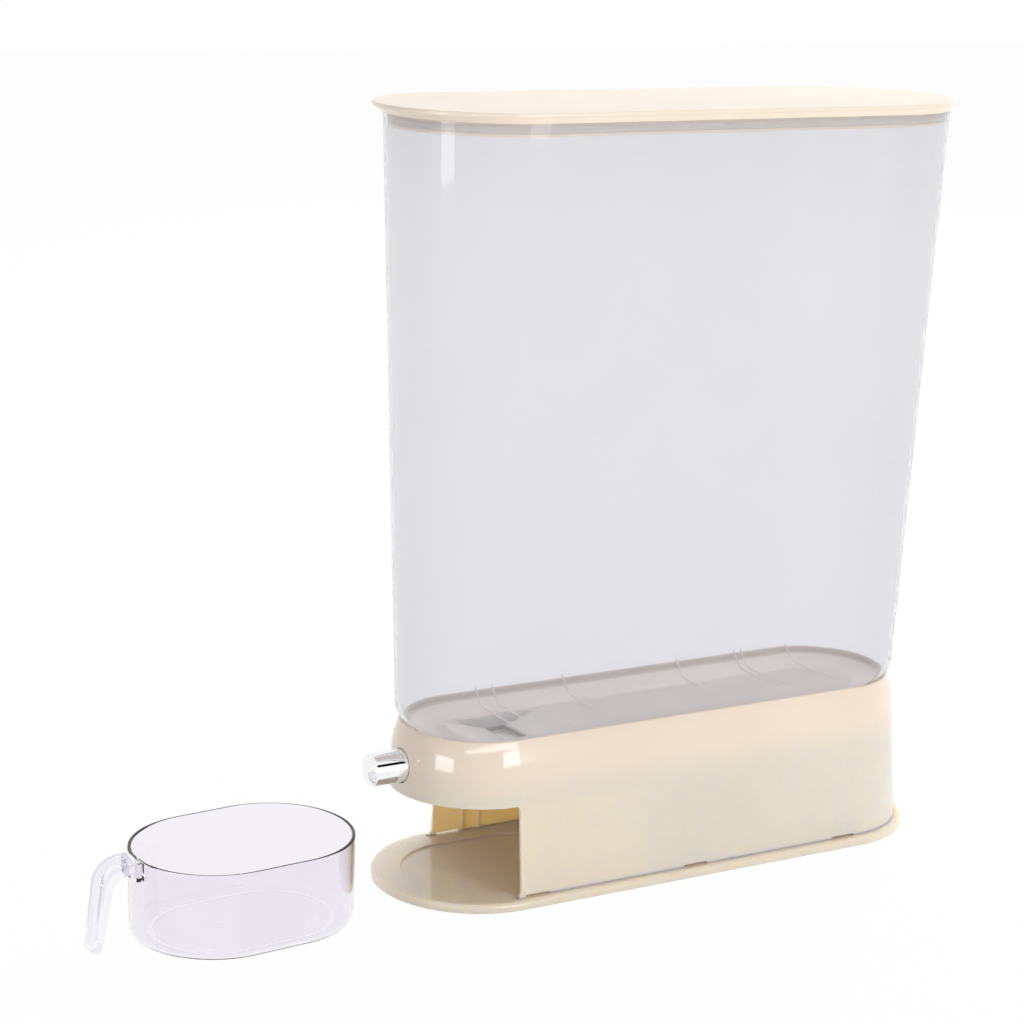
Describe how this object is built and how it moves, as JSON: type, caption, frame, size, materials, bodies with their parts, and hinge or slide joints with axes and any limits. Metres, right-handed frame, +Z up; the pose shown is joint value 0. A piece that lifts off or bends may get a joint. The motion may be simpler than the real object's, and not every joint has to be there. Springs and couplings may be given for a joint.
{
  "type": "rice dispenser with measuring cup",
  "caption": "Slim upright grain dispenser: translucent bin with a flat lid on a cream stand, push button that opens a sliding gate, and a clear measuring cup with a drop handle for its bay.",
  "frame": {"origin": "on the floor, under the middle of the dispenser's stand", "axes": "+Z up; -Y is the front, where the push button and the bay are; +X is to the right seen from the front"},
  "size_m": [0.1208, 0.5174, 0.4269],
  "materials": {
    "cream_abs": "moulded cream ABS, glossy",
    "milky_pp": "moulded natural polypropylene, milky and translucent",
    "crystal_ps": "moulded crystal polystyrene, clear and glossy",
    "chrome_plate": "bright chrome plate on a moulded cap",
    "white_pom": "moulded white acetal, satin",
    "silicone": "moulded silicone rubber, matt",
    "pad_rubber": "moulded rubber, matt",
    "screw_steel": "zinc plated steel",
    "spring_steel": "drawn spring wire"
  },
  "bodies": {
    "stand": {"base_plate": "cream_abs", "foot_pads": "pad_rubber", "housing": "cream_abs", "valve_tray": "cream_abs", "tray_screws": "screw_steel", "gate_frame": "white_pom", "frame_screws": "screw_steel", "outlet_chute": "cream_abs", "button_sleeve": "white_pom", "spring_washer": "screw_steel", "return_spring": "spring_steel"},
    "plunger": {"push_button": "chrome_plate", "push_rod": "white_pom", "rod_screw": "screw_steel", "gate": "white_pom"},
    "bin": {"bin": "milky_pp", "outlet_cuff": "silicone"},
    "lid": {"lid": "cream_abs", "lid_seal": "silicone"},
    "cup": {"cup": "crystal_ps", "cup_handle": "crystal_ps"}
  },
  "joints": [
    {"name": "button_press", "type": "slide", "parent": "stand", "child": "plunger", "axis": [0, 1, 0], "range_m": [0, 0.015], "stiffness_N_per_m": 250, "springref_m": -0.012, "deforming": ["return_spring"]},
    {"name": "bin_lift", "type": "slide", "parent": "stand", "child": "bin", "axis": [0, 0, 1], "range_m": [0, 0.09]},
    {"name": "lid_lift", "type": "slide", "parent": "bin", "child": "lid", "axis": [0, 0, 1], "range_m": [0, 0.08]},
    {"name": "cup_lift", "type": "slide", "parent": "stand", "child": "cup", "axis": [0, 0, 1], "range_m": [0, 0.12]}
  ]
}
